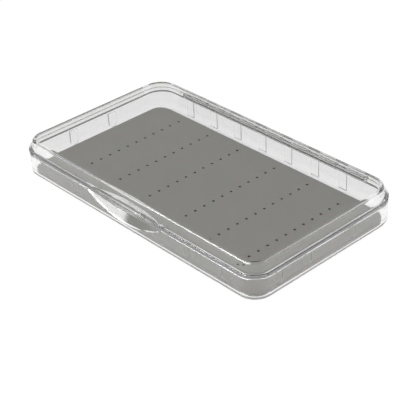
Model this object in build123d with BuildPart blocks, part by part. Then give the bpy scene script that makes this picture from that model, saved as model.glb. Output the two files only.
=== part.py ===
"""Slim hinged fly box: a clear tray and a clear lid on one steel hinge pin, with a hook pad inside.

Frame: millimetres, +Z up, origin at the centre of the tray's flat underside. X runs along the
box, parallel to the hinge. The hinge is at +Y, and the thumb scoop and the catch are at -Y.
"""

import os
from math import atan2, degrees, sqrt

from build123d import *

# ---------------------------------------------------------------- driving dimensions
# Case, measured over the tray's outer wall faces at the parting plane.
case_length = 180.4
case_width = 102.6
rear_corner_radius = 14.5
front_corner_radius = 10.7
wall = 2.2
closing_gap = 0.2

# Tray.
tray_height = 12.9
floor_thickness = 1.5
tray_draft = 0.2
tray_bottom_fillet = 2.4
tray_inner_fillet = 0.5

# Lid. Its wall stands in from the tray's outer wall faces.
lid_setback = 1.55
lid_height = 7.5
roof_thickness = 1.8
lid_draft = 0.9
lid_top_fillet = 1.8
lid_inner_fillet = 0.4

# Flange that runs round the foot of the lid and covers the tray's rim.
rim_reach = 0.15
lid_rim_height = 2.0
lid_rim_top_fillet = 0.6
lid_rim_edge_fillet = 0.3
tray_rim_fillet = 0.8

# Hinge: pairs of one tray knuckle and one lid knuckle on a steel pin behind the rear wall.
hinge_pairs = 7
tray_knuckle_length = 7.6
lid_knuckle_length = 11.4
knuckle_end_gap = 0.3
knuckle_radius = 1.9
knuckle_wall_gap = 0.25
hinge_offset = 0.4
hinge_root = 1.0
tray_web_foot = 0.8
tray_web_length = 5.2
lid_web_height = 4.0
pin_radius = 0.8
pin_running_clearance = 0.05
pin_end_setback = 0.6
pin_end_chamfer = 0.2

# Thumb scoop in the front wall of the tray, cut by a large ball a little left of the middle.
scoop_shift = -4.0
scoop_half_width = 30.5
scoop_drop = 9.2
scoop_depth = 5.4

# Thumb lip and catch tab on the front of the lid, over the scoop. The lip bulges out of the rim.
lip_half_width = 25.0
lip_reach = 0.9
lip_root = 1.0
lip_drop = 0.6
lip_edge_round = 0.5
tab_drop = 2.0
tab_half_width = 11.0
tab_thickness = 1.5
tab_root = 0.5
catch_radius = 0.6
catch_half_length = 7.0

# Stiffening pads on the inner faces of the tray walls.
stiffener_width = 5.4
stiffener_thickness = 0.8
stiffener_root = 0.5
stiffener_top_setback = 1.6
stiffener_bottom = 4.4
long_stiffener_bottom = 2.2
left_stiffener_places = (-17.8, 10.0)
right_stiffener_places = (-34.9, -15.2, 16.2)
front_stiffener_places = (-43.6, 43.6, 69.8)

# Hook pad and the adhesive sheet under it. The pad lies close to the front and right walls.
pad_left_gap = 2.9
pad_right_gap = 0.8
pad_front_gap = 0.8
pad_rear_gap = 4.4
pad_corner_radius = 7.4
pad_thickness = 2.0
adhesive_thickness = 0.2
adhesive_setback = 0.6
hole_radius = 0.55
holes_shift_x = 1.0
holes_shift_y = -0.45
hole_pitch = 6.35
holes_per_row = 13
holes_in_end_row = 12
rows_per_side = 3
row_spacing = 24.3
centre_row_gap = 28.1

# ---------------------------------------------------------------- derived places
half_length = case_length / 2
half_width = case_width / 2
lid_half_width = half_width - lid_setback
lid_bottom = tray_height + closing_gap
tray_taper = degrees(atan2(tray_draft, tray_height))
lid_taper = degrees(atan2(lid_draft, lid_height))

axis_y = half_width + hinge_offset
axis_z = tray_height + closing_gap / 2
bore_radius = pin_radius + pin_running_clearance
notch_radius = knuckle_radius + knuckle_wall_gap
tray_web_root = half_width - hinge_root
lid_web_root = lid_half_width - hinge_root
pair_pitch = tray_knuckle_length + lid_knuckle_length + 2 * knuckle_end_gap
hinge_length = hinge_pairs * pair_pitch - knuckle_end_gap
hinge_start = -hinge_length / 2
tray_knuckle_places = [
    hinge_start + tray_knuckle_length / 2 + pair * pair_pitch for pair in range(hinge_pairs)
]
lid_knuckle_places = [
    place + (tray_knuckle_length + lid_knuckle_length) / 2 + knuckle_end_gap
    for place in tray_knuckle_places
]

# The ball that cuts the scoop meets the front wall face in an arc of the stated half width and
# drop, and it reaches the stated depth behind that face at the rim.
trace_radius = (scoop_half_width**2 + scoop_drop**2) / (2 * scoop_drop)
ball_setback = (scoop_half_width**2 - scoop_depth**2) / (2 * scoop_depth)
ball_radius = sqrt(trace_radius**2 + ball_setback**2)
ball_y = -half_width - ball_setback
ball_z = tray_height + trace_radius - scoop_drop

stiffener_top = tray_height - stiffener_top_setback
stiffener_reach = stiffener_thickness + stiffener_root

pad_bottom = floor_thickness + adhesive_thickness
pad_length = case_length - 2 * wall - pad_left_gap - pad_right_gap
pad_width = case_width - 2 * wall - pad_front_gap - pad_rear_gap
pad_centre = ((pad_left_gap - pad_right_gap) / 2, (pad_front_gap - pad_rear_gap) / 2)
row_places = [
    side * (centre_row_gap / 2 + row * row_spacing)
    for side in (-1, 1)
    for row in range(rows_per_side)
]
end_row_place = max(row_places)


def case_outline(grow=0.0):
    """Sketch of the tray's outer wall at its rim, grown outwards all round by a distance."""
    with BuildSketch() as outline:
        Rectangle(case_length + 2 * grow, case_width + 2 * grow)
        fillet(outline.vertices().group_by(Axis.Y)[-1], rear_corner_radius + grow)
        fillet(outline.vertices().group_by(Axis.Y)[0], front_corner_radius + grow)
    return outline.sketch


def scoop_surface_y(height):
    """Y of the scoop's surface on its own middle plane, at a height above the underside."""
    return ball_y + sqrt(ball_radius**2 - (ball_z - height) ** 2)


def hole_places():
    """Centres of the pad's holes: equal rows, with the end row staggered by half a pitch."""
    places = []
    for row_x in row_places:
        count = holes_in_end_row if row_x == end_row_place else holes_per_row
        first = holes_shift_y - (count - 1) * hole_pitch / 2
        places += [(holes_shift_x + row_x, first + step * hole_pitch) for step in range(count)]
    return places


def stiffener_outline(bottom):
    """Sketch of one stiffening pad: upright, square at the top and round at the bottom."""
    with BuildSketch() as outline:
        round_centre = bottom + stiffener_width / 2
        with Locations((0, round_centre)):
            Circle(stiffener_width / 2)
        with Locations((0, (round_centre + stiffener_top) / 2)):
            Rectangle(stiffener_width, stiffener_top - round_centre)
    return outline.sketch


# ---------------------------------------------------------------- tray
with BuildPart() as tray_envelope:
    with BuildSketch(Plane.XY.offset(tray_height)):
        add(case_outline())
    extrude(amount=-tray_height, taper=tray_taper)
    fillet(tray_envelope.faces().sort_by(Axis.Z)[0].edges(), tray_bottom_fillet)
    fillet(tray_envelope.faces().sort_by(Axis.Z)[-1].edges(), tray_rim_fillet)

scoop_place = Pos(scoop_shift, ball_y, ball_z)
scoop_ball = scoop_place * Sphere(ball_radius)
scoop_liner = tray_envelope.part & (scoop_place * Sphere(ball_radius + wall))

with BuildPart() as base_tray:
    add(tray_envelope.part)

    # Compartment.
    with BuildSketch(Plane.XY.offset(tray_height)):
        add(case_outline(-wall))
    extrude(amount=floor_thickness - tray_height, taper=tray_taper, mode=Mode.SUBTRACT)
    floor_face = base_tray.faces().filter_by(Axis.Z).sort_by(Axis.Z)[1]
    fillet(floor_face.edges(), tray_inner_fillet)

    # Stiffening pads on the end walls and the front wall. Those over the pad end above it.
    for side, places, bottom in (
        (-1, left_stiffener_places, long_stiffener_bottom),
        (1, right_stiffener_places, stiffener_bottom),
    ):
        with BuildSketch(Plane.YZ.offset(side * (half_length - wall - stiffener_thickness))):
            with Locations([(place, 0) for place in places]):
                add(stiffener_outline(bottom))
        extrude(amount=side * stiffener_reach)
    with BuildSketch(Plane.XZ.offset(half_width - wall - stiffener_thickness)):
        with Locations([(place, 0) for place in front_stiffener_places]):
            add(stiffener_outline(stiffener_bottom))
    extrude(amount=stiffener_reach)

    # Thumb scoop: the wall follows the ball, so that it keeps its thickness, and a catch ridge
    # stands on the scoop just under the rim.
    add(scoop_liner)
    add(scoop_ball, mode=Mode.SUBTRACT)
    ridge_height = tray_height - catch_radius
    with BuildSketch(Plane.YZ.offset(scoop_shift)):
        with Locations((scoop_surface_y(ridge_height), ridge_height)):
            Circle(catch_radius)
    extrude(amount=catch_half_length, both=True)

    # Room in the rear wall for the lid's knuckles.
    for place in lid_knuckle_places:
        with BuildSketch(Plane.YZ.offset(place)):
            with Locations((axis_y, axis_z)):
                Circle(notch_radius)
        extrude(
            amount=lid_knuckle_length / 2 + knuckle_end_gap, both=True, mode=Mode.SUBTRACT
        )

    # Knuckles, each on a narrower web that runs down the whole rear wall.
    for place in tray_knuckle_places:
        with BuildSketch(Plane.YZ.offset(place)):
            with Locations((axis_y, axis_z)):
                Circle(knuckle_radius)
        extrude(amount=tray_knuckle_length / 2, both=True)
        with BuildSketch(Plane.YZ.offset(place)):
            with BuildLine():
                Polyline(
                    (tray_web_root, axis_z),
                    (axis_y, axis_z),
                    (axis_y, tray_web_foot + hinge_offset),
                    (tray_web_root, tray_web_foot),
                    close=True,
                )
            make_face()
        extrude(amount=tray_web_length / 2, both=True)

    with BuildSketch(Plane.YZ.offset(hinge_start)):
        with Locations((axis_y, axis_z)):
            Circle(bore_radius)
    extrude(amount=hinge_length, mode=Mode.SUBTRACT)
base_tray.part.label = "base_tray"

# ---------------------------------------------------------------- lid
with BuildPart() as lid_rim:
    with BuildSketch(Plane.XY.offset(lid_bottom)):
        add(case_outline(rim_reach))
    extrude(amount=lid_rim_height)
    fillet(lid_rim.faces().sort_by(Axis.Z)[-1].edges(), lid_rim_top_fillet)
    fillet(lid_rim.faces().sort_by(Axis.Z)[0].edges(), lid_rim_edge_fillet)

# Thumb lip: the rim bulges out in a flat arc over the scoop and hangs a little lower there.
lip_start, lip_stop = scoop_shift - lip_half_width, scoop_shift + lip_half_width
rim_front = -half_width - rim_reach
with BuildPart() as thumb_lip:
    with BuildSketch(Plane.XY.offset(lid_bottom - lip_drop)):
        with BuildLine():
            ThreePointArc(
                (lip_start, rim_front),
                (scoop_shift, rim_front - lip_reach),
                (lip_stop, rim_front),
            )
            Polyline(
                (lip_stop, rim_front),
                (lip_stop, rim_front + lip_root),
                (lip_start, rim_front + lip_root),
                (lip_start, rim_front),
            )
        make_face()
    extrude(amount=lip_drop + lid_rim_height)
    fillet(thumb_lip.edges().filter_by(GeomType.CIRCLE), lip_edge_round)

with BuildPart() as lid:
    with BuildSketch(Plane.XY.offset(lid_bottom)):
        add(case_outline(-lid_setback))
    extrude(amount=lid_height, taper=lid_taper)
    fillet(lid.faces().sort_by(Axis.Z)[-1].edges(), lid_top_fillet)

    add(lid_rim.part)

    # Headroom.
    with BuildSketch(Plane.XY.offset(lid_bottom)):
        add(case_outline(-lid_setback - wall))
    extrude(amount=lid_height - roof_thickness, taper=lid_taper, mode=Mode.SUBTRACT)
    ceiling_face = lid.faces().filter_by(Axis.Z).sort_by(Axis.Z)[-2]
    fillet(ceiling_face.edges(), lid_inner_fillet)

    add(thumb_lip.part)

    # Catch tab: the front wall runs down behind the lip and carries the catch bead.
    with BuildSketch(Plane.XZ.offset(lid_half_width - tab_thickness)):
        with Locations((scoop_shift, lid_bottom + (tab_root - tab_drop) / 2)):
            Rectangle(2 * tab_half_width, tab_root + tab_drop)
    extrude(amount=tab_thickness)
    with BuildSketch(Plane.YZ.offset(scoop_shift)):
        with Locations((tab_thickness - lid_half_width, lid_bottom - tab_drop + catch_radius)):
            Circle(catch_radius)
    extrude(amount=catch_half_length, both=True)

    # Room in the rear wall for the tray's knuckles.
    for place in tray_knuckle_places:
        with BuildSketch(Plane.YZ.offset(place)):
            with Locations((axis_y, axis_z)):
                Circle(notch_radius)
        extrude(
            amount=tray_knuckle_length / 2 + knuckle_end_gap, both=True, mode=Mode.SUBTRACT
        )

    # Knuckles, each on a web that runs up the rear wall.
    for place in lid_knuckle_places:
        with BuildSketch(Plane.YZ.offset(place)):
            with Locations((axis_y, axis_z)):
                Circle(knuckle_radius)
            with BuildLine():
                Polyline(
                    (lid_web_root, axis_z),
                    (axis_y, axis_z),
                    (axis_y, axis_z + knuckle_radius),
                    (lid_web_root, axis_z + lid_web_height),
                    close=True,
                )
            make_face()
        extrude(amount=lid_knuckle_length / 2, both=True)

    with BuildSketch(Plane.YZ.offset(hinge_start)):
        with Locations((axis_y, axis_z)):
            Circle(bore_radius)
    extrude(amount=hinge_length, mode=Mode.SUBTRACT)
lid.part.label = "lid"

# ---------------------------------------------------------------- hinge pin
with BuildPart() as hinge_pin:
    with BuildSketch(Plane.YZ.offset(hinge_start + pin_end_setback)):
        with Locations((axis_y, axis_z)):
            Circle(pin_radius)
    extrude(amount=hinge_length - 2 * pin_end_setback)
    chamfer(hinge_pin.edges().filter_by(GeomType.CIRCLE), pin_end_chamfer)
hinge_pin.part.label = "hinge_pin"

# ---------------------------------------------------------------- hook pad
with BuildPart() as fly_pad:
    with BuildSketch(Plane.XY.offset(pad_bottom)):
        with Locations(pad_centre):
            RectangleRounded(pad_length, pad_width, pad_corner_radius)
        with Locations(hole_places()):
            Circle(hole_radius, mode=Mode.SUBTRACT)
    extrude(amount=pad_thickness)
fly_pad.part.label = "fly_pad"

with BuildPart() as pad_adhesive:
    with BuildSketch(Plane.XY.offset(floor_thickness)):
        with Locations(pad_centre):
            RectangleRounded(
                pad_length - 2 * adhesive_setback,
                pad_width - 2 * adhesive_setback,
                pad_corner_radius - adhesive_setback,
            )
    extrude(amount=adhesive_thickness)
pad_adhesive.part.label = "pad_adhesive"

# ---------------------------------------------------------------- files
os.makedirs("parts", exist_ok=True)
export_step(base_tray.part, "parts/base_tray.step")
export_step(lid.part, "parts/lid.step")
export_step(hinge_pin.part, "parts/hinge_pin.step")
export_step(fly_pad.part, "parts/fly_pad.step")
export_step(pad_adhesive.part, "parts/pad_adhesive.step")
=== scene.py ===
"""Clear hinged fly box on a pale table.

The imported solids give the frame. The two clear mouldings are smooth-shaded copies of their
solids, the hook pad is built again as soft closed-cell foam with its punched holes, and the
hinge pin is turned again with its drawn surface and rounded ends.
"""

import logging
import math
from dataclasses import dataclass
from enum import Enum

import bmesh
import bpy
import numpy as np
from mathutils import Matrix, Vector

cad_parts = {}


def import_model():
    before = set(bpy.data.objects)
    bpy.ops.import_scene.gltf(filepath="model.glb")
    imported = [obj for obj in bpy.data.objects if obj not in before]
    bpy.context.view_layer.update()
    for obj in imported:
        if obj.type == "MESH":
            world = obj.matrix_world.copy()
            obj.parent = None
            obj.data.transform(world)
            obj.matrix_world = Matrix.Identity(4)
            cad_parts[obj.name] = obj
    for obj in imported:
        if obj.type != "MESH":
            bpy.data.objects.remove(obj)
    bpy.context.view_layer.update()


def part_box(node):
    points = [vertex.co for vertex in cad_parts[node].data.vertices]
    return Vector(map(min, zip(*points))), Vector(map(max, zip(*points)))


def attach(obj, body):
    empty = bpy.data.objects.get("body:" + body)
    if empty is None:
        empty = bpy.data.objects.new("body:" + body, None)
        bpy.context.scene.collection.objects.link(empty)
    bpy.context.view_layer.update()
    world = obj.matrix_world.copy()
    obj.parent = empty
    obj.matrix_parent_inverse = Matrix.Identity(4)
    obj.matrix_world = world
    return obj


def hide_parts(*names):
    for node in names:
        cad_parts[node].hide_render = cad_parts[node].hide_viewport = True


LOG = logging.getLogger("fly_box")
MM = 0.001
# Point attribute carrying the painted shade of the punched holes.
HOLE_SHADE = "painted_hole_shade"
WELD_DISTANCE = 2e-6
FACE_WEIGHT = 100
SCRATCH_FAMILIES = ((0.5, 30.0), (2.1, 22.0))
SCRATCH_BAND = [(0.0, 0.0), (0.67, 0.0), (0.7, 1.0), (0.73, 0.0)]

Colour = tuple[float, float, float, float]


class Body(Enum):
    """The rigid bodies that pieces ride on."""

    TRAY = "tray"
    LID = "lid_body"


class Slot(Enum):
    """Material slots of the record."""

    CLEAR = "clear_shell"
    STEEL = "pin_steel"
    PAD = "pad"
    ADHESIVE = "adhesive"


# ------------------------------------------------------------------ node helpers


class Graph:
    """A node tree with short ways to add and join nodes."""

    def __init__(self, tree: bpy.types.NodeTree) -> None:
        """Wrap a node tree.

        Args:
            tree: The tree that nodes are added to.
        """
        self.tree = tree

    def add(
        self, kind: str, settings: dict | None = None, sockets: dict | None = None
    ) -> bpy.types.Node:
        """Add a node, set its properties and fill or link its inputs.

        Args:
            kind: Node type name.
            settings: Node properties by name.
            sockets: Inputs by name or index; a value is set, and a socket is linked.

        Returns:
            The new node.
        """
        node = self.tree.nodes.new(kind)
        for name, value in (settings or {}).items():
            setattr(node, name, value)
        for name, value in (sockets or {}).items():
            if isinstance(value, bpy.types.NodeSocket):
                self.tree.links.new(value, node.inputs[name])
            else:
                node.inputs[name].default_value = value
        return node

    def math(self, operation: str, first: object, second: object = 0.0) -> bpy.types.NodeSocket:
        """Add a Math node and return its result socket."""
        node = self.add("ShaderNodeMath", {"operation": operation}, {0: first, 1: second})
        return node.outputs[0]

    def ramp(
        self, factor: bpy.types.NodeSocket, stops: list[tuple[float, float]]
    ) -> bpy.types.NodeSocket:
        """Map a value through grey stops.

        Args:
            factor: The value to map.
            stops: Pairs of position and grey level.

        Returns:
            The ramp's colour socket.
        """
        node = self.add("ShaderNodeValToRGB", sockets={"Fac": factor})
        while len(node.color_ramp.elements) < len(stops):
            node.color_ramp.elements.new(0.5)
        for element, (place, grey) in zip(node.color_ramp.elements, stops):
            element.position = place
            element.color = (grey, grey, grey, 1.0)
        return node.outputs["Color"]


def new_group(
    name: str, inputs: dict[str, float], outputs: list[str]
) -> tuple[Graph, bpy.types.Node, bpy.types.Node]:
    """Make an empty shader node group.

    Args:
        name: Name of the group.
        inputs: Float inputs with their default values.
        outputs: Names of the float outputs.

    Returns:
        The group's graph, its input node and its output node.
    """
    tree = bpy.data.node_groups.new(name, "ShaderNodeTree")
    tree.interface.new_socket("Vector", in_out="INPUT", socket_type="NodeSocketVector")
    for label, value in inputs.items():
        socket = tree.interface.new_socket(label, in_out="INPUT", socket_type="NodeSocketFloat")
        socket.default_value = value
    for label in outputs:
        tree.interface.new_socket(label, in_out="OUTPUT", socket_type="NodeSocketFloat")
    graph = Graph(tree)
    return graph, graph.add("NodeGroupInput"), graph.add("NodeGroupOutput")


def scratch_group() -> bpy.types.NodeTree:
    """Node group: hairline scratches, as thin bands of two stretched, turned noises.

    Returns:
        The group, with Scale and Amount inputs and Height and Mask outputs.
    """
    graph, start, end = new_group(
        "hairline_scratches", {"Scale": 60.0, "Amount": 0.5}, ["Height", "Mask"]
    )
    marks = []
    for turn, stretch in SCRATCH_FAMILIES:
        place = graph.add(
            "ShaderNodeMapping",
            sockets={
                "Vector": start.outputs["Vector"],
                "Rotation": (0.2, 0.1, turn),
                "Scale": (1.0, stretch, stretch),
            },
        )
        noise = graph.add(
            "ShaderNodeTexNoise",
            sockets={"Vector": place.outputs[0], "Scale": start.outputs["Scale"], "Detail": 2.0},
        )
        marks.append(graph.ramp(noise.outputs["Fac"], SCRATCH_BAND))
    both = graph.math("MAXIMUM", marks[0], marks[1])
    mask = graph.math("MULTIPLY", both, start.outputs["Amount"])
    graph.tree.links.new(mask, end.inputs["Mask"])
    graph.tree.links.new(graph.math("MULTIPLY", mask, -1.0), end.inputs["Height"])
    return graph.tree


def grain_group() -> bpy.types.NodeTree:
    """Node group: fine grain over slow mottling, as two noises of different scale.

    Returns:
        The group, with Fine and Coarse scales and Grain and Mottle outputs.
    """
    graph, start, end = new_group(
        "fine_grain", {"Fine": 2500.0, "Coarse": 60.0}, ["Grain", "Mottle"]
    )
    for scale, detail, label in (("Fine", 3.0, "Grain"), ("Coarse", 2.0, "Mottle")):
        noise = graph.add(
            "ShaderNodeTexNoise",
            sockets={
                "Vector": start.outputs["Vector"],
                "Scale": start.outputs[scale],
                "Detail": detail,
            },
        )
        graph.tree.links.new(noise.outputs["Fac"], end.inputs[label])
    return graph.tree


@dataclass(frozen=True)
class NodeGroups:
    """The node groups that several finishes share."""

    scratches: bpy.types.NodeTree
    grain: bpy.types.NodeTree


def fresh_material(name: str) -> tuple[bpy.types.Material, Graph, bpy.types.Node]:
    """Make a node material with only its output.

    Args:
        name: Name of the material.

    Returns:
        The material, its graph and its output node.
    """
    material = bpy.data.materials.new(name)
    material.use_nodes = True
    material.node_tree.nodes.clear()
    graph = Graph(material.node_tree)
    return material, graph, graph.add("ShaderNodeOutputMaterial")


# ------------------------------------------------------------------ finishes


@dataclass(frozen=True)
class ClearPlastic:
    """Polished clear moulding: bends light, and lets lamp light through to what it holds.

    Hairline scratches lie on shallow ripples that run level round the walls.
    """

    name: str = "clear_styrene"
    tint: Colour = (0.985, 0.988, 0.985, 1.0)
    passed: Colour = (0.93, 0.935, 0.93, 1.0)
    index: float = 1.56
    roughness: float = 0.012
    scratch_scale: float = 55.0
    scratch_amount: float = 0.35
    scratch_strength: float = 0.25
    scratch_depth: float = 0.000004
    scratch_roughness: float = 0.05
    ripple_scale: tuple[float, float, float] = (12.0, 12.0, 700.0)
    ripple_depth: float = 0.0
    absorbed: float = 6.0

    def build(self, groups: NodeGroups) -> bpy.types.Material:
        """Make the material.

        Args:
            groups: The shared node groups.

        Returns:
            The material.
        """
        material, graph, output = fresh_material(self.name)
        place = graph.add("ShaderNodeTexCoord").outputs["Object"]
        marks = graph.add(
            "ShaderNodeGroup",
            {"node_tree": groups.scratches},
            {"Vector": place, "Scale": self.scratch_scale, "Amount": self.scratch_amount},
        )
        level = graph.add(
            "ShaderNodeMapping", sockets={"Vector": place, "Scale": self.ripple_scale}
        )
        ripple = graph.add(
            "ShaderNodeTexNoise",
            sockets={"Vector": level.outputs[0], "Scale": 1.0, "Detail": 2.0},
        )
        uneven = graph.add(
            "ShaderNodeBump",
            sockets={
                "Strength": 1.0,
                "Distance": self.ripple_depth,
                "Height": ripple.outputs["Fac"],
            },
        )
        bump = graph.add(
            "ShaderNodeBump",
            sockets={
                "Strength": self.scratch_strength,
                "Distance": self.scratch_depth,
                "Height": marks.outputs["Height"],
                "Normal": uneven.outputs[0],
            },
        )
        worn = graph.math("MULTIPLY", marks.outputs["Mask"], self.scratch_roughness)
        shader = graph.add(
            "ShaderNodeBsdfPrincipled",
            sockets={
                "Base Color": self.tint,
                "Roughness": graph.math("ADD", worn, self.roughness),
                "IOR": self.index,
                "Transmission Weight": 1.0,
                "Normal": bump.outputs[0],
            },
        )
        clear = graph.add("ShaderNodeBsdfTransparent", sockets={"Color": self.passed})
        path = graph.add("ShaderNodeLightPath")
        mix = graph.add(
            "ShaderNodeMixShader",
            sockets={
                0: path.outputs["Is Shadow Ray"],
                1: shader.outputs[0],
                2: clear.outputs[0],
            },
        )
        graph.tree.links.new(mix.outputs[0], output.inputs["Surface"])
        depth = graph.add(
            "ShaderNodeVolumeAbsorption",
            sockets={"Color": (0.0, 0.0, 0.0, 1.0), "Density": self.absorbed},
        )
        graph.tree.links.new(depth.outputs[0], output.inputs["Volume"])
        return material


@dataclass(frozen=True)
class DrawnSteel:
    """Dull drawn steel wire, with fine grain pulled out along the wire."""

    name: str = "drawn_steel_wire"
    color: Colour = (0.36, 0.36, 0.37, 1.0)
    draw: tuple[float, float, float] = (0.02, 1.0, 1.0)
    fine_scale: float = 9000.0
    coarse_scale: float = 900.0
    least_roughness: float = 0.22
    roughness_swing: float = 0.2
    grain_strength: float = 0.4
    grain_depth: float = 0.00001

    def build(self, groups: NodeGroups) -> bpy.types.Material:
        """Make the material.

        Args:
            groups: The shared node groups.

        Returns:
            The material.
        """
        material, graph, output = fresh_material(self.name)
        place = graph.add("ShaderNodeTexCoord").outputs["Object"]
        drawn = graph.add("ShaderNodeMapping", sockets={"Vector": place, "Scale": self.draw})
        grain = graph.add(
            "ShaderNodeGroup",
            {"node_tree": groups.grain},
            {"Vector": drawn.outputs[0], "Fine": self.fine_scale, "Coarse": self.coarse_scale},
        )
        swing = graph.math("MULTIPLY", grain.outputs["Grain"], self.roughness_swing)
        bump = graph.add(
            "ShaderNodeBump",
            sockets={
                "Strength": self.grain_strength,
                "Distance": self.grain_depth,
                "Height": grain.outputs["Grain"],
            },
        )
        shader = graph.add(
            "ShaderNodeBsdfPrincipled",
            sockets={
                "Base Color": self.color,
                "Metallic": 1.0,
                "Roughness": graph.math("ADD", swing, self.least_roughness),
                "Normal": bump.outputs[0],
            },
        )
        graph.tree.links.new(shader.outputs[0], output.inputs["Surface"])
        return material


@dataclass(frozen=True)
class PadFoam:
    """Grey closed-cell foam with a fine pressed skin, with shade painted near-black inside the
    punched holes.
    """

    name: str = "grey_closed_cell_foam"
    light: Colour = (0.350, 0.341, 0.322, 1.0)
    dark: Colour = (0.320, 0.312, 0.294, 1.0)
    # Painted shade: the near-black colour that the foam is mixed towards down the punched holes.
    well: Colour = (0.006, 0.006, 0.006, 1.0)
    roughness: float = 0.72
    fine_scale: float = 2600.0
    coarse_scale: float = 45.0
    cell_scale: float = 3200.0
    mottle_share: float = 0.7
    grain_share: float = 0.3
    cell_height: float = 0.6
    skin_strength: float = 0.35
    skin_depth: float = 0.00006

    def build(self, groups: NodeGroups) -> bpy.types.Material:
        """Make the material.

        Args:
            groups: The shared node groups.

        Returns:
            The material.
        """
        material, graph, output = fresh_material(self.name)
        place = graph.add("ShaderNodeTexCoord").outputs["Object"]
        grain = graph.add(
            "ShaderNodeGroup",
            {"node_tree": groups.grain},
            {"Vector": place, "Fine": self.fine_scale, "Coarse": self.coarse_scale},
        )
        cells = graph.add(
            "ShaderNodeTexVoronoi", sockets={"Vector": place, "Scale": self.cell_scale}
        )
        mottle = graph.math("MULTIPLY", grain.outputs["Mottle"], self.mottle_share)
        speck = graph.math("MULTIPLY", grain.outputs["Grain"], self.grain_share)
        skin = graph.add(
            "ShaderNodeMix",
            {"data_type": "RGBA"},
            {0: graph.math("ADD", mottle, speck), 6: self.dark, 7: self.light},
        )
        # Painted shade: the skin colour is mixed towards near-black by the holes' painted-shade
        # mask.
        hole = graph.add("ShaderNodeAttribute", {"attribute_name": HOLE_SHADE})
        colour = graph.add(
            "ShaderNodeMix",
            {"data_type": "RGBA"},
            {0: hole.outputs["Fac"], 6: skin.outputs[2], 7: self.well},
        )
        raised = graph.math("MULTIPLY", cells.outputs["Distance"], self.cell_height)
        bump = graph.add(
            "ShaderNodeBump",
            sockets={
                "Strength": self.skin_strength,
                "Distance": self.skin_depth,
                "Height": graph.math("ADD", raised, grain.outputs["Grain"]),
            },
        )
        shader = graph.add(
            "ShaderNodeBsdfPrincipled",
            sockets={
                "Base Color": colour.outputs[2],
                "Roughness": self.roughness,
                "Specular IOR Level": 0.3,
                "Sheen Weight": 0.12,
                "Sheen Roughness": 0.5,
                "Normal": bump.outputs[0],
            },
        )
        graph.tree.links.new(shader.outputs[0], output.inputs["Surface"])
        return material


@dataclass(frozen=True)
class AdhesiveFilm:
    """Thin milky adhesive film with slow changes of gloss."""

    name: str = "milky_adhesive_film"
    color: Colour = (0.75, 0.74, 0.72, 1.0)
    fine_scale: float = 900.0
    coarse_scale: float = 80.0
    least_roughness: float = 0.35
    roughness_swing: float = 0.3

    def build(self, groups: NodeGroups) -> bpy.types.Material:
        """Make the material.

        Args:
            groups: The shared node groups.

        Returns:
            The material.
        """
        material, graph, output = fresh_material(self.name)
        place = graph.add("ShaderNodeTexCoord").outputs["Object"]
        grain = graph.add(
            "ShaderNodeGroup",
            {"node_tree": groups.grain},
            {"Vector": place, "Fine": self.fine_scale, "Coarse": self.coarse_scale},
        )
        swing = graph.math("MULTIPLY", grain.outputs["Mottle"], self.roughness_swing)
        shader = graph.add(
            "ShaderNodeBsdfPrincipled",
            sockets={
                "Base Color": self.color,
                "Roughness": graph.math("ADD", swing, self.least_roughness),
            },
        )
        graph.tree.links.new(shader.outputs[0], output.inputs["Surface"])
        return material


# ------------------------------------------------------------------ mesh helpers


def mesh_object(name: str, points: np.ndarray, faces: list[np.ndarray]) -> bpy.types.Object:
    """Put computed points and faces into a new smooth object.

    Args:
        name: Name of the object.
        points: Points in metres, one row each.
        faces: Arrays of faces, one array for each number of corners.

    Returns:
        The object, linked to the scene.
    """
    mesh = bpy.data.meshes.new(name)
    mesh.from_pydata(points.tolist(), [], [face for group in faces for face in group.tolist()])
    mesh.validate()
    mesh.shade_smooth()
    made = bpy.data.objects.new(name, mesh)
    bpy.context.scene.collection.objects.link(made)
    return made


def merged_copy(node: bpy.types.Object, name: str, crease_deg: float) -> bpy.types.Object:
    """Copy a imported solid, join its loose triangles and shade it smooth up to an angle.

    Args:
        node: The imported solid's object.
        name: Name of the copy.
        crease_deg: Edges sharper than this stay sharp.

    Returns:
        The copy, with its place in its mesh.
    """
    mesh = node.data.copy()
    mesh.name = name
    mesh.materials.clear()
    work = bmesh.new()
    work.from_mesh(mesh)
    bmesh.ops.remove_doubles(work, verts=work.verts, dist=WELD_DISTANCE)
    work.to_mesh(mesh)
    work.free()
    for layer in ("custom_normal", "sharp_edge", "sharp_face"):
        if layer in mesh.attributes:
            mesh.attributes.remove(mesh.attributes[layer])
    mesh.shade_smooth()
    mesh.set_sharp_from_angle(angle=math.radians(crease_deg))
    made = bpy.data.objects.new(name, mesh)
    bpy.context.scene.collection.objects.link(made)
    weigh = made.modifiers.new("face_weight", "WEIGHTED_NORMAL")
    weigh.weight = FACE_WEIGHT
    weigh.keep_sharp = True
    return made


# ------------------------------------------------------------------ pieces


@dataclass
class ClearShell:
    """One clear moulding of the box, the tray or the lid."""

    node: str
    body: Body
    crease_deg: float = 32.0

    def build(self, finish: bpy.types.Material) -> bpy.types.Object:
        """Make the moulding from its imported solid.

        Args:
            finish: The clear plastic.

        Returns:
            The moulding.
        """
        piece = merged_copy(bpy.data.objects[self.node], f"clear_{self.node}", self.crease_deg)
        piece.data.materials.append(finish)
        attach(piece, self.body.value)
        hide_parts(self.node)
        return piece


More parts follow.
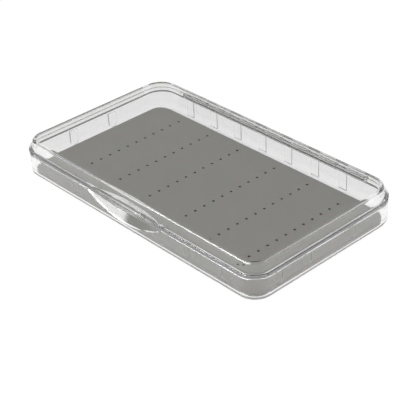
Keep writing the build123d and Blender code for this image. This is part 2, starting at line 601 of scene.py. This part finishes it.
@dataclass
class HookPad:
    """Foam pad with rows of punched holes, in millimetres."""

    hole_pitch: float = 6.35
    row_places: tuple[float, ...] = (-62.65, -38.35, -14.05, 14.05, 38.35, 62.65)
    row_length: int = 13
    end_row_length: int = 12
    shift: tuple[float, float] = (1.0, -0.45)
    hole_radius: float = 0.55
    lip_radius: float = 0.85
    lip_land: float = 0.25
    hole_floor: float = 1.5
    corner_radius: float = 7.4
    top_round: float = 0.45
    foot_round: float = 0.2
    waist: float = 0.05
    rim_insets: tuple[float, ...] = (1.6, 0.9)
    round_steps: int = 6
    grid_reach: float = 80.0
    end_cells: int = 4
    gap_cells: int = 5
    cells: int = 4

    def holes(self) -> np.ndarray:
        """Centres of the punched holes: rows of an even pitch about the pad's own middle.

        Returns:
            One row of x and y for each hole.
        """
        places = []
        for x in self.row_places:
            count = self.end_row_length if x == self.row_places[-1] else self.row_length
            y = (np.arange(count) - (count - 1) / 2) * self.hole_pitch
            places.append(np.stack([np.full(count, x), y], 1))
        return np.concatenate(places) + self.shift

    def lines(self) -> tuple[np.ndarray, np.ndarray]:
        """Grid lines of the pad's flat middle, closer together where the holes are.

        Returns:
            The x places and the y places.
        """
        step = self.hole_pitch / 2 / self.cells
        near = (np.arange(self.cells + 1) - self.cells / 2) * step
        rows = [place + near for place in self.row_places]
        ends = [
            np.linspace(-self.grid_reach, rows[0][0], self.end_cells + 1)[:-1],
            np.linspace(rows[-1][-1], self.grid_reach, self.end_cells + 1)[1:],
        ]
        gaps = [
            np.linspace(row[-1], following[0], self.gap_cells + 1)[1:-1]
            for row, following in zip(rows[:-1], rows[1:])
        ]
        half = self.row_length * self.cells
        x = np.sort(np.concatenate(rows + ends + gaps)) + self.shift[0]
        return x, np.arange(-half, half + 1) * step + self.shift[1]

    def build(self, finish: bpy.types.Material) -> bpy.types.Object:
        """Make the pad: a grid top with a ringed well at each hole, and a rounded rim.

        Args:
            finish: The foam.

        Returns:
            The pad.
        """
        low, high = (np.array(corner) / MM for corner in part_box("fly_pad"))
        x, y = self.lines()
        points, faces, depth = self.top(x, y, float(high[2]))
        ring = self.around(np.arange(len(x) * len(y)).reshape(len(x), len(y)))
        edge, edge_faces, last = self.rim(points[ring], low, high, len(points), ring)
        first = len(points) + len(edge)
        bottom, bottom_faces = self.underside(x, y, float(low[2]), first, ring, last)
        every = np.concatenate([points, edge, bottom])
        shade = np.concatenate([depth, np.zeros(len(edge) + len(bottom))])
        piece = mesh_object("foam_hook_pad", every * MM, [*faces, edge_faces, *bottom_faces])
        # Painted shade of the holes, kept on the points for the foam to darken them.
        painted_shade = piece.data.attributes.new(HOLE_SHADE, "FLOAT", "POINT")
        painted_shade.data.foreach_set("value", shade.astype(np.float32))
        piece.data.materials.append(finish)
        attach(piece, Body.TRAY.value)
        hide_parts("fly_pad")
        return piece

    def hole_section(self) -> list[tuple[float, float, float]]:
        """Profile of a hole, from its lip inwards and down to its closed floor.

        Returns:
            The radius, the height over the pad's face and the painted shade of each step, which
            grows from none at the lip to full near-black down the hole.
        """
        radius, floor = self.hole_radius, self.hole_floor
        # The third column is painted shade: the hole's wall is painted darker step by step towards
        # its floor, where shade falls.
        return [
            (self.lip_radius + self.lip_land, 0.0, 0.0),
            (self.lip_radius, -0.01, 0.0),
            (radius + 0.14, -0.05, 0.35),
            (radius + 0.04, -0.14, 0.85),
            (radius, -0.32, 1.0),
            (radius * 0.97, -1.0, 1.0),
            (radius * 0.9, -floor, 1.0),
            (radius * 0.3, -floor - 0.15, 1.0),
        ]

    def top(
        self, x: np.ndarray, y: np.ndarray, z: float
    ) -> tuple[np.ndarray, list[np.ndarray], np.ndarray]:
        """Top face: grid squares, with the squares over a hole replaced by rings that lead
        from the square's outline to a circle and down the hole.

        Args:
            x: Grid places along X.
            y: Grid places along Y.
            z: Height of the face.

        Returns:
            The points, the face arrays and each point's painted shade, from none on the face to
            full down the holes.
        """
        nx, ny = len(x), len(y)
        grid_x, grid_y = np.meshgrid(x, y, indexing="ij")
        points = np.stack([grid_x.ravel(), grid_y.ravel(), np.full(nx * ny, z)], 1)
        index = np.arange(nx * ny).reshape(nx, ny)
        keep = np.ones((nx - 1, ny - 1), bool)
        holes, n = self.holes(), self.cells
        start_x = np.searchsorted(x, holes[:, 0] - self.hole_pitch / 4 - 0.01)
        start_y = np.searchsorted(y, holes[:, 1] - self.hole_pitch / 4 - 0.01)
        rings = []
        for i, j in zip(start_x, start_y):
            keep[i : i + n, j : j + n] = False
            rings.append(self.around(index[i : i + n + 1, j : j + n + 1]))
        rings = np.array(rings)
        outline = points[rings]
        centre = np.concatenate([holes, np.full((len(holes), 1), z)], 1)[:, None, :]
        angle = np.arctan2(outline[..., 1] - centre[..., 1], outline[..., 0] - centre[..., 0])
        spokes = np.stack([np.cos(angle), np.sin(angle), np.zeros_like(angle)], -1)
        levels, shade, faces = [], [np.zeros(len(points))], []
        before, count = rings, len(points)
        # dark is the painted shade of the step, kept on each point for the foam's colour.
        for radius, drop, dark in self.hole_section():
            level = centre + spokes * radius + np.array([0.0, 0.0, drop])
            levels.append(level.reshape(-1, 3))
            now = count + np.arange(rings.size).reshape(rings.shape)
            faces.append(self.band(before, now))
            shade.append(np.full(now.size, dark))
            before, count = now, count + now.size
        corners = [index[:-1, :-1], index[1:, :-1], index[1:, 1:], index[:-1, 1:]]
        quads = np.stack(corners, -1)[keep]
        return np.concatenate([points, *levels]), [quads, *faces, before], np.concatenate(shade)

    @staticmethod
    def band(outer: np.ndarray, inner: np.ndarray) -> np.ndarray:
        """Quads between two sets of closed rings with as many points each."""
        corners = [outer, np.roll(outer, -1, -1), np.roll(inner, -1, -1), inner]
        return np.stack(corners, -1).reshape(-1, 4)

    @staticmethod
    def around(block: np.ndarray) -> np.ndarray:
        """Entries on a grid's outline, anticlockwise from its lowest corner."""
        return np.concatenate([block[:-1, 0], block[-1, :-1], block[:0:-1, -1], block[0, :0:-1]])

    def outline(
        self, inner: np.ndarray, low: np.ndarray, high: np.ndarray, inset: float
    ) -> np.ndarray:
        """Rounded rectangle through the same number of points as the inner outline: the inner
        outline is stretched to the pad's sides, and its corners are drawn in to a circle.

        Args:
            inner: Points of the inner outline.
            low: Lowest corner of the pad.
            high: Highest corner of the pad.
            inset: Distance of the outline inside the pad's side.

        Returns:
            The points' x and y.
        """
        middle, half = (low + high)[:2] / 2, (high - low)[:2] / 2
        least, most = inner[:, :2].min(0), inner[:, :2].max(0)
        core = half - self.corner_radius
        scaled = (inner[:, :2] - (least + most) / 2) / ((most - least) / 2) * half
        anchor = np.clip(scaled, -core, core)
        away = scaled - anchor
        length = np.maximum(np.linalg.norm(away, axis=1, keepdims=True), 1e-9)
        return middle + anchor + away / length * (self.corner_radius - inset)

    def rim(
        self, inner: np.ndarray, low: np.ndarray, high: np.ndarray, first: int, ring: np.ndarray
    ) -> tuple[np.ndarray, np.ndarray, np.ndarray]:
        """Side of the pad: outlines that step over a quarter circle at the top edge, down past a
        slight waist, and over a quarter circle at the foot.

        Args:
            inner: Points of the top grid's outline.
            low: Lowest corner of the pad.
            high: Highest corner of the pad.
            first: Index of the first new point.
            ring: Indices of the top grid's outline.

        Returns:
            The new points, their faces and the indices of the last outline.
        """
        turn = np.linspace(0.0, math.pi / 2, self.round_steps)
        thick = float(high[2] - low[2])
        steps = [(inset, 0.0) for inset in self.rim_insets]
        steps += [
            (self.top_round * (1 - math.sin(t)), -self.top_round * (1 - math.cos(t)))
            for t in turn
        ]
        steps += [(self.waist, -thick / 2)]
        steps += [
            (self.foot_round * (1 - math.cos(t)), -thick + self.foot_round * (1 - math.sin(t)))
            for t in turn
        ]
        levels = []
        for inset, drop in steps:
            flat = self.outline(inner, low, high, inset)
            levels.append(np.column_stack([flat, np.full(len(flat), high[2] + drop)]))
        rings = [ring] + [first + np.arange(len(ring)) + k * len(ring) for k in range(len(steps))]
        faces = np.concatenate([self.band(b, a) for a, b in zip(rings[:-1], rings[1:])])
        return np.concatenate(levels), faces, rings[-1]

    def underside(
        self,
        x: np.ndarray,
        y: np.ndarray,
        z: float,
        first: int,
        ring: np.ndarray,
        last: np.ndarray,
    ) -> tuple[np.ndarray, list[np.ndarray]]:
        """Plain bottom grid, joined to the last outline of the side.

        Args:
            x: Grid places along X.
            y: Grid places along Y.
            z: Height of the bottom.
            first: Index of the first new point.
            ring: Indices of a grid's outline.
            last: Indices of the side's last outline.

        Returns:
            The points and the face arrays.
        """
        nx, ny = len(x), len(y)
        grid_x, grid_y = np.meshgrid(x, y, indexing="ij")
        points = np.stack([grid_x.ravel(), grid_y.ravel(), np.full(nx * ny, z)], 1)
        index = first + np.arange(nx * ny).reshape(nx, ny)
        corners = [index[:-1, :-1], index[:-1, 1:], index[1:, 1:], index[1:, :-1]]
        quads = np.stack(corners, -1).reshape(-1, 4)
        return points, [quads, self.band(first + ring, last)]


@dataclass
class HingePin:
    """Steel wire pin with rounded ends."""

    sides: int = 32
    cap_share: float = 0.35
    cap_steps: int = 6

    def build(self, finish: bpy.types.Material) -> bpy.types.Object:
        """Make the pin: a profile of radius over length, with a quarter circle at each end.

        Args:
            finish: The steel.

        Returns:
            The pin.
        """
        low, high = (np.array(corner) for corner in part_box("hinge_pin"))
        radius, middle = (high[2] - low[2]) / 2, (low + high) / 2
        cap = self.cap_share * radius
        turn = np.linspace(math.pi / 2, 0.0, self.cap_steps)
        inset = cap * (1 - np.sin(turn))
        end = radius - cap + cap * np.cos(turn)
        along = np.concatenate([low[0] + inset, (high[0] - inset)[::-1]])
        size = np.concatenate([end, end[::-1]])
        return self.lathe(along, size, middle, finish)

    def lathe(
        self, along: np.ndarray, size: np.ndarray, middle: np.ndarray, finish: bpy.types.Material
    ) -> bpy.types.Object:
        """Turn a profile about the X line through the middle: y is the radius times the cosine
        of the angle, and z is the radius times its sine.

        Args:
            along: X of each profile point.
            size: Radius at each profile point.
            middle: A point on the axis.
            finish: The steel.

        Returns:
            The pin.
        """
        angle = np.arange(self.sides) * 2 * math.pi / self.sides
        grid_x = np.repeat(along[:, None], self.sides, 1)
        grid_y = middle[1] + size[:, None] * np.cos(angle)
        grid_z = middle[2] + size[:, None] * np.sin(angle)
        points = np.stack([grid_x, grid_y, grid_z], -1).reshape(-1, 3)
        index = np.arange(len(points)).reshape(len(along), self.sides)
        side = HookPad.band(index[:-1], index[1:])
        piece = mesh_object("steel_hinge_pin", points, [side, index[:1, ::-1], index[-1:]])
        piece.data.materials.append(finish)
        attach(piece, Body.TRAY.value)
        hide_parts("hinge_pin")
        return piece


@dataclass
class AdhesiveSheet:
    """Adhesive sheet between the pad and the floor, wetted onto the floor so that no air lies
    between them, in metres."""

    corner: float = 0.0068
    wetting: float = 0.00004
    corner_steps: int = 12
    crease_deg: float = 40.0

    def build(self, finish: bpy.types.Material) -> bpy.types.Object:
        """Make the sheet: two rounded rectangles, each a fan of quarter circles, and a side.

        Args:
            finish: The adhesive.

        Returns:
            The sheet.
        """
        low, high = (np.array(corner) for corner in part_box("pad_adhesive"))
        core = (high - low)[:2] / 2 - self.corner
        turn = np.linspace(0.0, math.pi / 2, self.corner_steps)
        angle = np.concatenate([turn + quarter * math.pi / 2 for quarter in range(4)])
        signs = np.repeat(np.array([(1, 1), (-1, 1), (-1, -1), (1, -1)]), self.corner_steps, 0)
        round_off = self.corner * np.stack([np.cos(angle), np.sin(angle)], 1)
        flat = (low + high)[:2] / 2 + signs * core + round_off
        heights = (low[2] - self.wetting, high[2])
        points = np.concatenate([np.column_stack([flat, np.full(len(flat), z)]) for z in heights])
        index = np.arange(len(points)).reshape(2, -1)
        side = HookPad.band(index[:1], index[1:])
        piece = mesh_object("adhesive_sheet", points, [side, index[:1, ::-1], index[1:]])
        piece.data.set_sharp_from_angle(angle=math.radians(self.crease_deg))
        piece.data.materials.append(finish)
        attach(piece, Body.TRAY.value)
        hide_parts("pad_adhesive")
        return piece


# ------------------------------------------------------------------ studio


@dataclass(frozen=True)
class Lamp:
    """A square soft lamp that points at the box, in metres and watts."""

    name: str
    place: tuple[float, float, float]
    size: float
    power: float


@dataclass
class Studio:
    """Pale table, soft light and the camera. Angles are in degrees and lengths in metres.

    An azimuth of 0 degrees is the box's front, and 90 degrees is its right end.
    """

    target: tuple[float, float, float] = (0.024265, -0.018588, 0.00973)
    azimuth: float = 48.609
    elevation: float = 32.732
    roll: float = -3.033
    distance: float = 0.60774
    focal: float = 1208.236
    frame: int = 416
    sensor: float = 36.0
    clip: tuple[float, float] = (0.01, 20.0)
    floor_reach: float = 3.0
    floor_gap: float = 0.0001
    floor_colour: Colour = (0.86, 0.86, 0.86, 1.0)
    floor_white: float = 1.03
    lift: float = 0.9
    walls: float = 0.5
    dark_card: float = 0.2
    dark_card_spread: tuple[float, float] = (40.0, 20.0)
    soft: float = 0.6
    soft_box: float = 10.0
    soft_box_azimuth: float = -12.0
    soft_box_elevation: float = 20.0
    soft_box_spread: tuple[float, float] = (34.0, 28.0)
    outermost_depth: float = 2.5
    lamps_at: tuple[float, float, float] = (0.0, 0.0, 0.01)
    lamps: tuple[Lamp, ...] = (
        Lamp("soft_key", (-0.5, -0.55, 0.9), 0.7, 6.4),
        Lamp("soft_fill", (0.75, 0.2, 0.7), 0.8, 3.5),
    )
    bounces: int = 48
    clear_bounces: int = 32

    def build(self) -> None:
        """Make the floor, the world, the lamps and the camera."""
        self.floor()
        self.world()
        for lamp in self.lamps:
            self.light(lamp)
        self.camera()
        bpy.context.scene.view_settings.view_transform = "Standard"
        cycles = bpy.context.scene.cycles
        cycles.max_bounces = self.bounces
        cycles.transmission_bounces = self.bounces
        cycles.glossy_bounces = self.bounces
        cycles.transparent_max_bounces = self.clear_bounces

    def floor(self) -> None:
        """Plain pale floor. What is seen of it is lifted towards white, and shadows stay."""
        mesh = bpy.data.meshes.new("floor")
        signs = ((-1, -1), (1, -1), (1, 1), (-1, 1))
        corners = [(x * self.floor_reach, y * self.floor_reach, -self.floor_gap) for x, y in signs]
        mesh.from_pydata(corners, [], [(0, 1, 2, 3)])
        made = bpy.data.objects.new("floor", mesh)
        bpy.context.scene.collection.objects.link(made)
        material, graph, output = fresh_material("pale_table")
        path = graph.add("ShaderNodeLightPath")
        seen = graph.math("MAXIMUM", self.in_glass(graph, path), path.outputs["Is Camera Ray"])
        matt = graph.add("ShaderNodeBsdfDiffuse", sockets={"Color": self.floor_colour})
        white = graph.add(
            "ShaderNodeEmission", sockets={"Color": (1, 1, 1, 1), "Strength": self.floor_white}
        )
        lifted = graph.math("MULTIPLY", seen, self.lift)
        mix = graph.add(
            "ShaderNodeMixShader", sockets={0: lifted, 1: matt.outputs[0], 2: white.outputs[0]}
        )
        graph.tree.links.new(mix.outputs[0], output.inputs["Surface"])
        mesh.materials.append(material)

    def world(self) -> None:
        """Soft surroundings.

        Mirrored and bent rays see plain walls with a dark card behind the box, the outermost
        mirroring sees a round soft box in front as well, and everything else gets plain soft
        light. The ray depth counts from 1 at the camera, so the outermost mirroring has 2.
        """
        world = bpy.data.worlds.new("studio")
        world.use_nodes = True
        world.node_tree.nodes.clear()
        graph = Graph(world.node_tree)
        path = graph.add("ShaderNodeLightPath")
        way = graph.add("ShaderNodeTexCoord").outputs["Generated"]
        walls = self.disc(
            graph,
            way,
            (self.azimuth + 180.0, self.elevation),
            self.dark_card_spread,
            (self.walls, self.dark_card),
        )
        box = self.disc(
            graph,
            way,
            (self.soft_box_azimuth, self.soft_box_elevation),
            self.soft_box_spread,
            (0.0, self.soft_box),
        )
        outermost = graph.math("LESS_THAN", path.outputs["Ray Depth"], self.outermost_depth)
        mirror = graph.math("MULTIPLY", outermost, path.outputs["Is Glossy Ray"])
        around = graph.math("ADD", walls, graph.math("MULTIPLY", box, mirror))
        bent = graph.add(
            "ShaderNodeMix", sockets={0: self.in_glass(graph, path), 2: self.soft, 3: around}
        )
        strength = graph.add(
            "ShaderNodeMix",
            sockets={0: path.outputs["Is Camera Ray"], 2: bent.outputs[0], 3: 1.0},
        )
        light = graph.add(
            "ShaderNodeBackground",
            sockets={"Color": (1, 1, 1, 1), "Strength": strength.outputs[0]},
        )
        output = graph.add("ShaderNodeOutputWorld")
        graph.tree.links.new(light.outputs[0], output.inputs["Surface"])
        bpy.context.scene.world = world

    @staticmethod
    def in_glass(graph: Graph, path: bpy.types.Node) -> bpy.types.NodeSocket:
        """Whether a ray was mirrored or bent on its way."""
        mirrored, bent = path.outputs["Is Glossy Ray"], path.outputs["Is Transmission Ray"]
        return graph.math("MAXIMUM", mirrored, bent)

    @staticmethod
    def towards(azimuth: float, elevation: float) -> Vector:
        """Unit direction of an azimuth and an elevation in degrees."""
        side, lift = math.radians(azimuth), math.radians(elevation)
        flat = math.cos(lift)
        return Vector((math.sin(side) * flat, -math.cos(side) * flat, math.sin(lift)))

    @staticmethod
    def disc(
        graph: Graph,
        way: bpy.types.NodeSocket,
        aim: tuple[float, float],
        spread: tuple[float, float],
        levels: tuple[float, float],
    ) -> bpy.types.NodeSocket:
        """Round patch of the surroundings: its level blends in over the cosine of the angle
        between the ray and the patch's middle.

        Args:
            graph: The world's graph.
            way: Direction of the ray.
            aim: Azimuth and elevation of the patch's middle, in degrees.
            spread: Angles from its middle where it starts and where it is full, in degrees.
            levels: Level outside it and level inside it.

        Returns:
            The level.
        """
        near = graph.add(
            "ShaderNodeVectorMath",
            {"operation": "DOT_PRODUCT"},
            {0: way, 1: Studio.towards(*aim)},
        )
        start, stop = (math.cos(math.radians(angle)) for angle in spread)
        ramp = graph.add(
            "ShaderNodeMapRange",
            {"interpolation_type": "SMOOTHSTEP"},
            {0: near.outputs["Value"], 1: start, 2: stop, 3: levels[0], 4: levels[1]},
        )
        return ramp.outputs[0]

    def light(self, lamp: Lamp) -> None:
        """Place a lamp, kept out of what the plastic mirrors and bends.

        Args:
            lamp: The lamp.
        """
        area = bpy.data.lights.new(lamp.name, "AREA")
        area.size = lamp.size
        area.energy = lamp.power
        made = bpy.data.objects.new(lamp.name, area)
        made.location = lamp.place
        aim = Vector(self.lamps_at) - Vector(lamp.place)
        made.rotation_euler = aim.to_track_quat("-Z", "Y").to_euler()
        made.visible_glossy = made.visible_transmission = False
        bpy.context.scene.collection.objects.link(made)

    def camera(self) -> None:
        """Camera from its angles: back, right and up directions, rolled about the view."""
        side, tilt = math.radians(self.azimuth), math.radians(self.roll)
        back = self.towards(self.azimuth, self.elevation)
        right = Vector((math.cos(side), math.sin(side), 0.0))
        up = back.cross(right)
        turned = math.cos(tilt) * right + math.sin(tilt) * up
        upright = -math.sin(tilt) * right + math.cos(tilt) * up
        camera = bpy.data.cameras.new("camera")
        camera.sensor_width = self.sensor
        camera.lens = self.focal / self.frame * camera.sensor_width
        camera.shift_x, camera.shift_y = -0.5 / self.frame, 0.5 / self.frame
        camera.clip_start, camera.clip_end = self.clip
        made = bpy.data.objects.new("camera", camera)
        place = Matrix.Translation(Vector(self.target) + back * self.distance)
        made.matrix_world = place @ Matrix((turned, upright, back)).transposed().to_4x4()
        bpy.context.scene.collection.objects.link(made)
        bpy.context.scene.camera = made


def main() -> None:
    """Build every piece of the box and the studio round it."""
    logging.basicConfig(level=logging.INFO, format="%(name)s: %(message)s")
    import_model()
    groups = NodeGroups(scratch_group(), grain_group())
    rippled = ClearPlastic("clear_styrene_tray", roughness=0.07, ripple_depth=0.00012)
    for piece, finish in (
        (ClearShell("base_tray", Body.TRAY), rippled),
        (ClearShell("lid", Body.LID), ClearPlastic()),
        (HookPad(), PadFoam()),
        (HingePin(), DrawnSteel()),
        (AdhesiveSheet(), AdhesiveFilm()),
    ):
        LOG.info("built %s", piece.build(finish.build(groups)).name)
    Studio().build()


if __name__ == "__main__":
    main()
